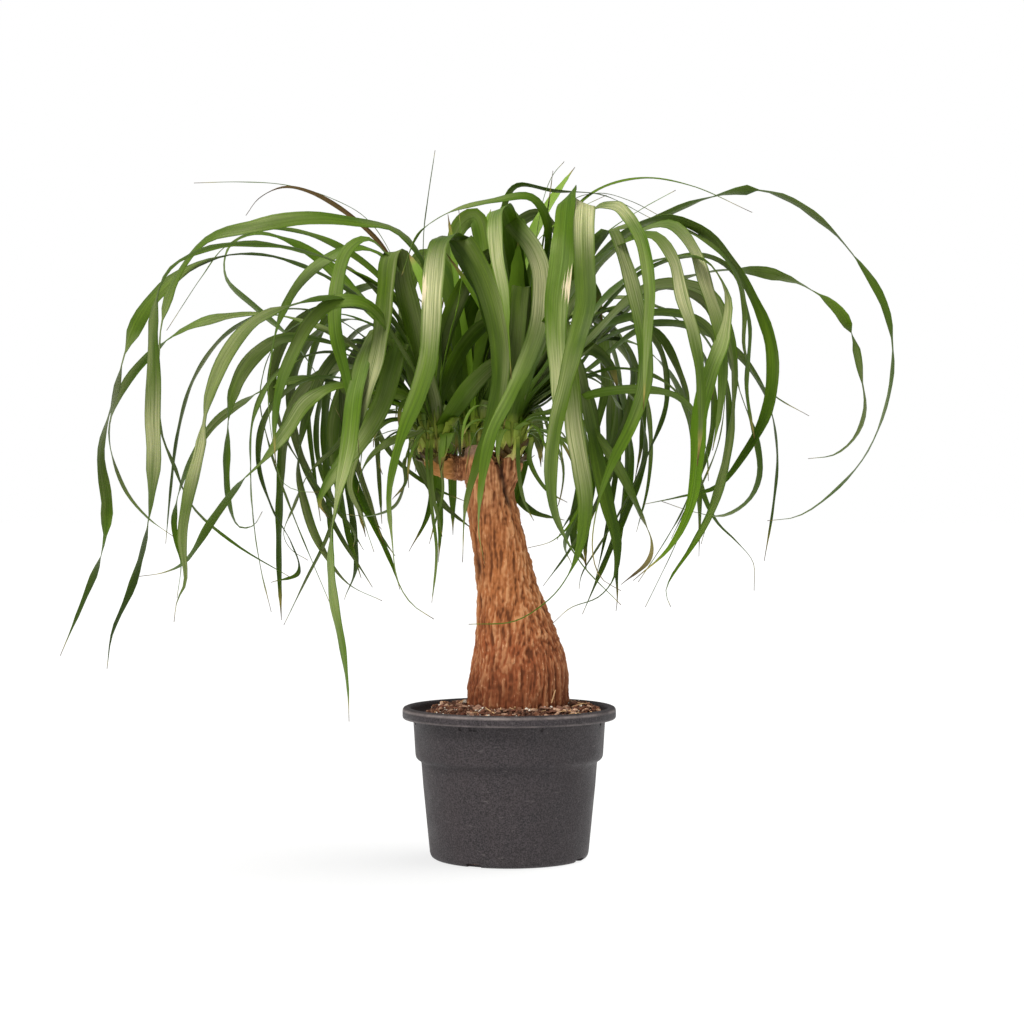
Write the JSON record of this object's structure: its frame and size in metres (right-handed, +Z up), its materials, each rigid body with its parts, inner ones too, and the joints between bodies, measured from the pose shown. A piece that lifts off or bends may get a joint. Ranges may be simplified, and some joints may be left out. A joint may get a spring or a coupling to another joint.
{
  "type": "potted ponytail palm",
  "caption": "Swollen topped trunk with heads of long arching strap leaves, growing in a filled round nursery pot.",
  "frame": {"origin": "centre of the flat underside of the pot, on the surface that the pot stands on", "axes": "+Z up, -Y towards the viewer of the front, +X to that viewer's right, along the widest spread of the leaves"},
  "size_m": [0.815, 0.5073, 0.6963],
  "materials": {
    "pot_plastic": "charcoal moulded plastic, fine grain, satin on the rim",
    "potting_soil": "loose dark potting mix with bark chips and white perlite",
    "bark": "rough red-brown bark with upright fissures and pale flecks",
    "leaf": "green strap leaf with fine lengthwise veins and a waxy sheen"
  },
  "bodies": {
    "root": {"pot": "pot_plastic", "soil": "potting_soil", "trunk": "bark", "left_head": "leaf", "right_head": "leaf", "back_head": "leaf"}
  },
  "joints": []
}
